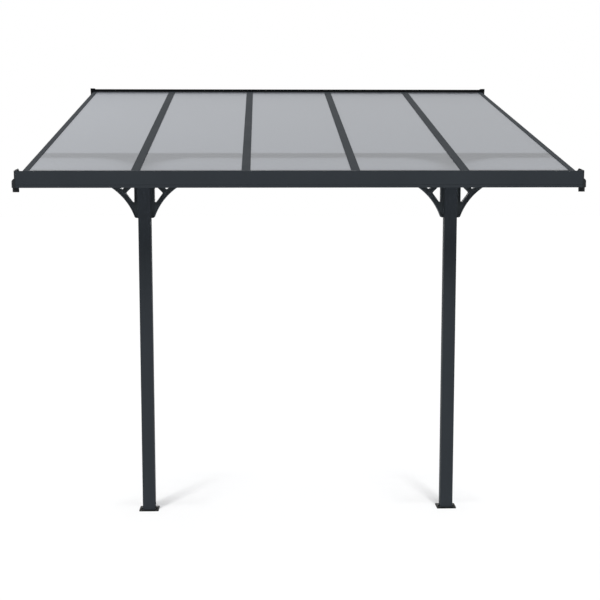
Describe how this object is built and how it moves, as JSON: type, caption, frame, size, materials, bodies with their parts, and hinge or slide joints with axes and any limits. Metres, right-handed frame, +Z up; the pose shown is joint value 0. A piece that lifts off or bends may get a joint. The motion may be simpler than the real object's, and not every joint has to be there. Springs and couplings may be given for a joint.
{
  "type": "wall-mounted pergola",
  "caption": "Wall-mounted pergola: sloping translucent roof panels between slim rafters, wall ledger, front gutter with end outlets, and a cross beam on two set-back posts with curved openwork brackets.",
  "frame": {"origin": "middle of the wall ledger's flat back face, on the wall", "axes": "+X along the ledger to the right as seen from the front, +Y into the wall, +Z up; the roof runs out towards -Y"},
  "size_m": [3.1876, 3.0015, 2.6738],
  "materials": {
    "frame_coat": "satin anthracite powder coat on aluminium",
    "ledger_coat": "satin near-black powder coat on aluminium",
    "bracket_coat": "fine-grained dark powder coat on cast metal",
    "roof_glazing": "smoky grey translucent polycarbonate",
    "seal_rubber": "matt black seal",
    "trim_plastic": "matt dark moulded plastic"
  },
  "bodies": {
    "root": {"wall_ledger": "ledger_coat", "ledger_cap_left": "ledger_coat", "ledger_cap_right": "ledger_coat", "ledger_seal_1": "seal_rubber", "ledger_seal_2": "seal_rubber", "ledger_seal_3": "seal_rubber", "ledger_seal_4": "seal_rubber", "ledger_seal_5": "seal_rubber", "rafter_1": "frame_coat", "rafter_2": "frame_coat", "rafter_3": "frame_coat", "rafter_4": "frame_coat", "rafter_5": "frame_coat", "rafter_6": "frame_coat", "roof_panel_1": "roof_glazing", "roof_panel_2": "roof_glazing", "roof_panel_3": "roof_glazing", "roof_panel_4": "roof_glazing", "roof_panel_5": "roof_glazing", "panel_trim_1": "trim_plastic", "panel_trim_2": "trim_plastic", "panel_trim_3": "trim_plastic", "panel_trim_4": "trim_plastic", "panel_trim_5": "trim_plastic", "front_gutter": "frame_coat", "gutter_cap_left": "trim_plastic", "gutter_cap_right": "trim_plastic", "cross_bar_1": "frame_coat", "cross_bar_2": "frame_coat", "cross_bar_3": "frame_coat", "cross_bar_4": "frame_coat", "cross_bar_5": "frame_coat", "front_beam": "frame_coat", "beam_cap_left": "trim_plastic", "beam_cap_right": "trim_plastic", "post_left": "frame_coat", "post_right": "frame_coat", "base_plate_left": "bracket_coat", "base_plate_right": "bracket_coat", "bracket_left_outer": "bracket_coat", "bracket_left_inner": "bracket_coat", "bracket_right_inner": "bracket_coat", "bracket_right_outer": "bracket_coat"}
  },
  "joints": []
}
